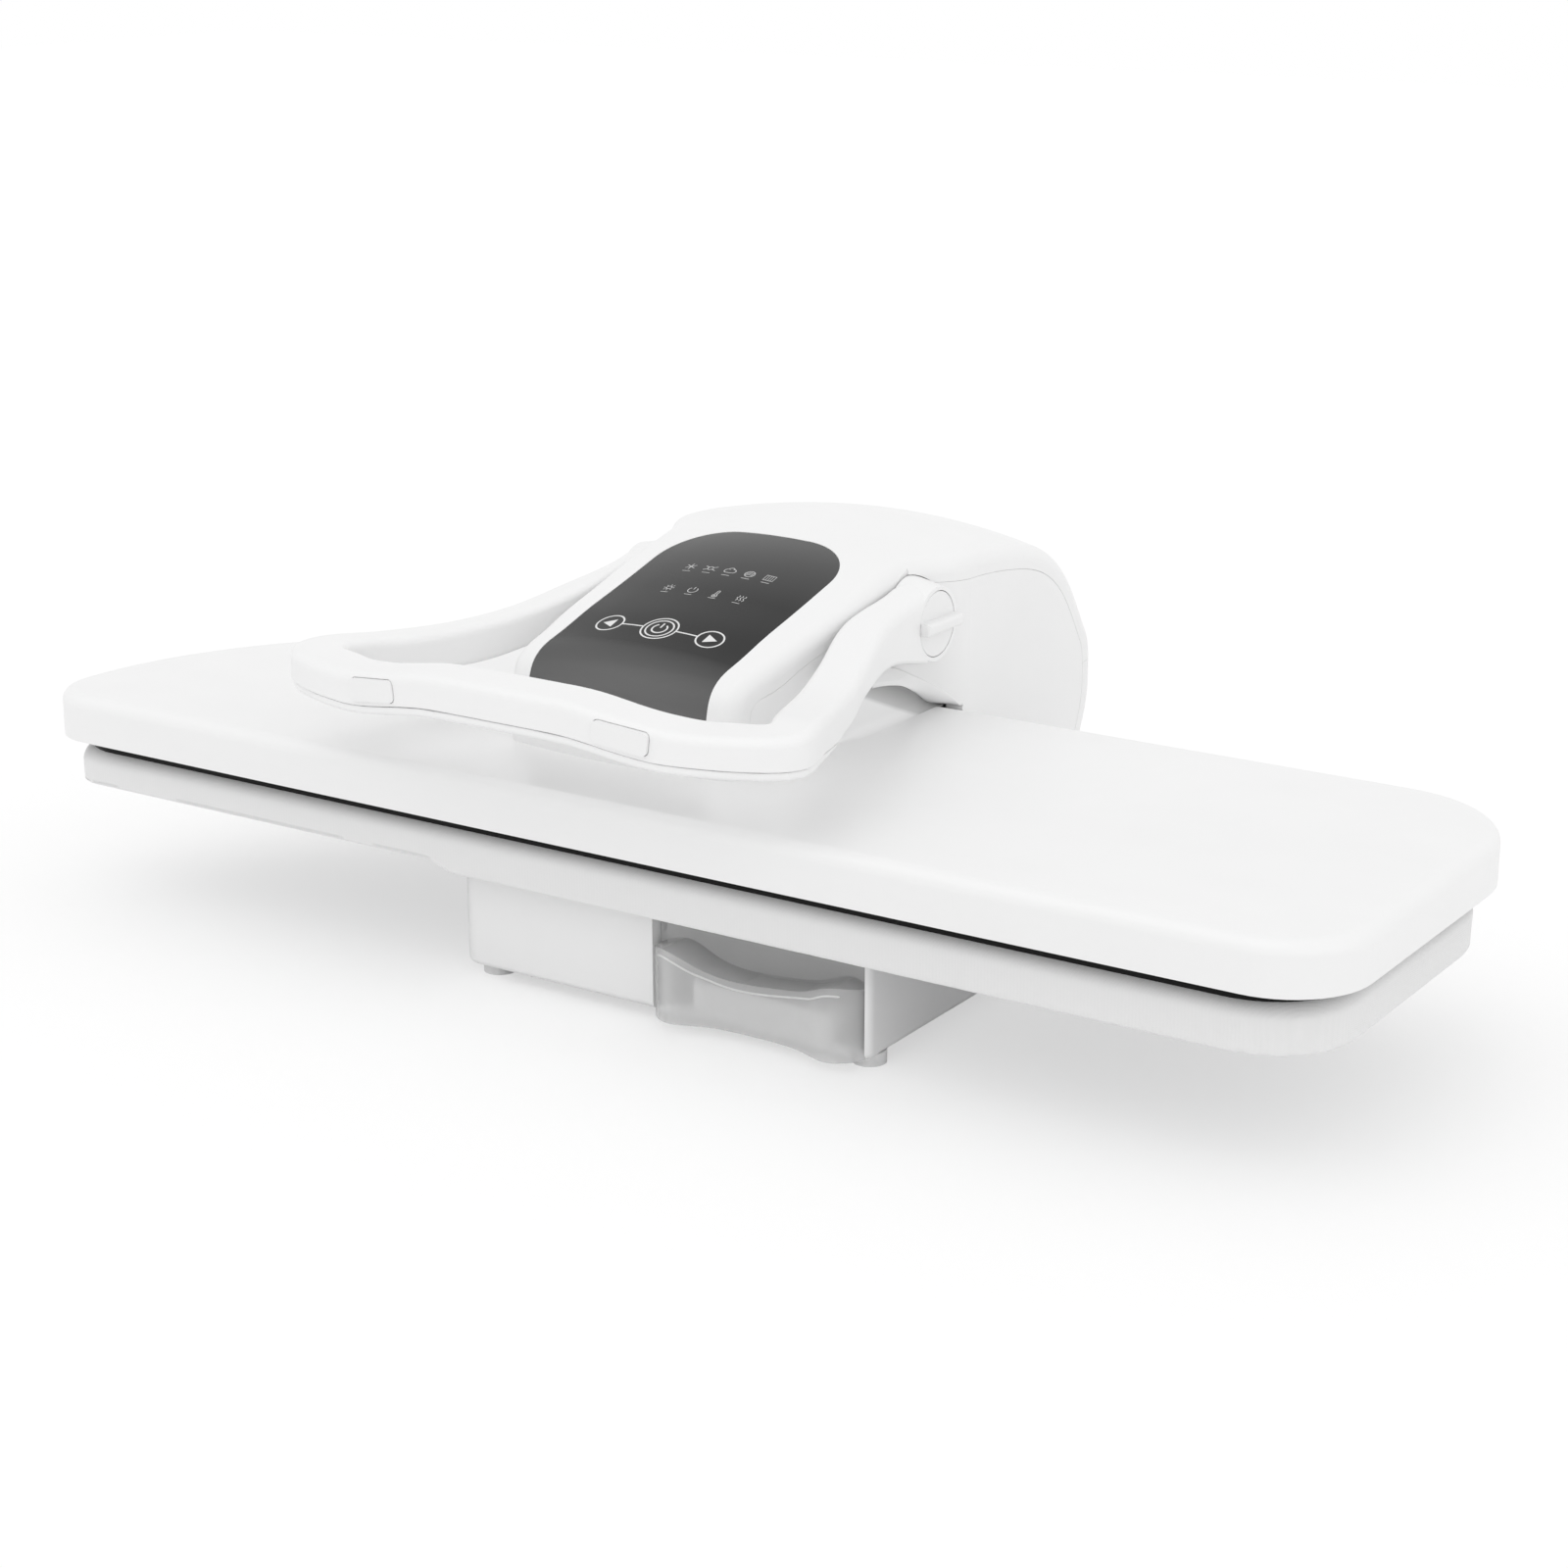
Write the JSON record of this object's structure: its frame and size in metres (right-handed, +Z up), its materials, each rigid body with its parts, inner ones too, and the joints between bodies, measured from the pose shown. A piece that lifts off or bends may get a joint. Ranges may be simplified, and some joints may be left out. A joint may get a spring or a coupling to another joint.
{
  "type": "steam ironing press",
  "caption": "Tabletop steam press: wing-shaped hinged hot plate over a padded board, hooded arm with a U-shaped lever, lock knob, steam buttons and a pull-out water tank.",
  "frame": {"origin": "on the table, under the middle of the press's box", "axes": "+Z up, -Y towards the user, +X along the board towards its square end"},
  "size_m": [0.81, 0.4735, 0.2223],
  "materials": {
    "shell_white": "satin white moulding",
    "hidden_plastic": "matte",
    "rubber_black": "matte",
    "steel": "brushed",
    "bush_brass": "plain",
    "plate_dark": "dark non-stick coat",
    "cloth_grey": "woven",
    "foam_white": "open-cell foam",
    "tank_clear": "smoky clear",
    "panel_black": "gloss black"
  },
  "bodies": {
    "base": {"base_housing": "shell_white", "base_bottom_cover": "hidden_plastic", "base_screws": "steel", "rubber_feet": "rubber_black", "cord_gland": "hidden_plastic", "hinge_bracket_right": "steel", "hinge_bracket_left": "steel", "hinge_shaft": "steel", "hinge_circlips": "steel", "torsion_springs": "steel", "dock_socket": "hidden_plastic", "water_pump": "hidden_plastic", "power_board": "hidden_plastic", "water_hose": "rubber_black", "pad_cover": "cloth_grey", "board_tray": "hidden_plastic", "foam_pad": "foam_white"},
    "tank": {"tank_tub": "tank_clear", "tank_lid": "tank_clear", "tank_cap": "tank_clear", "tank_spigot": "tank_clear", "tank_seal": "rubber_black"},
    "head": {"press_cover": "shell_white", "sole_plate": "plate_dark", "heating_element": "steel", "steam_chamber_cover": "plate_dark", "insulation_sheet": "cloth_grey", "thermostat": "steel", "thermal_fuse": "steel", "press_bridge": "steel", "plate_screws": "steel", "arm_plate_right": "steel", "arm_plate_left": "steel", "arm_ties": "steel", "hinge_bushes": "bush_brass", "handle_bushes": "bush_brass", "steam_hose": "rubber_black", "head_top_cover": "shell_white", "head_back_cover": "shell_white", "control_panel_glass": "panel_black", "head_side_right": "shell_white", "head_side_left": "shell_white", "control_board": "hidden_plastic", "board_posts": "hidden_plastic", "arch_guards": "panel_black"},
    "lever": {"handle_upper": "shell_white", "handle_lower": "shell_white", "handle_shaft": "steel", "pivot_cap_left": "shell_white", "steam_switches": "hidden_plastic", "press_cams": "steel"},
    "lock_knob": {"lock_knob": "shell_white"},
    "steam_button_right": {"steam_button_right": "shell_white"},
    "steam_button_left": {"steam_button_left": "shell_white"}
  },
  "joints": [
    {"name": "press_open", "type": "hinge", "parent": "base", "child": "head", "pos_m": [-0.038, 0.12526, 0.105], "axis": [-1, 0, 0], "range_deg": [0, 50]},
    {"name": "lever_lift", "type": "hinge", "parent": "head", "child": "lever", "pos_m": [-0.038, 0.03376, 0.1795], "axis": [-1, 0, 0], "range_deg": [0, 25]},
    {"name": "lock_knob_turn", "type": "hinge", "parent": "lever", "child": "lock_knob", "pos_m": [0.0635, 0.03376, 0.1795], "axis": [1, 0, 0], "range_deg": [0, 90]},
    {"name": "steam_button_right_press", "type": "slide", "parent": "lever", "child": "steam_button_right", "axis": [-0.0872, 0.9962, 0], "range_m": [0, 0.0025], "stiffness_N_per_m": 400},
    {"name": "steam_button_left_press", "type": "slide", "parent": "lever", "child": "steam_button_left", "axis": [0.0872, 0.9962, 0], "range_m": [0, 0.0025], "stiffness_N_per_m": 400},
    {"name": "tank_slide", "type": "slide", "parent": "base", "child": "tank", "axis": [0, -1, 0], "range_m": [0, 0.14]}
  ]
}
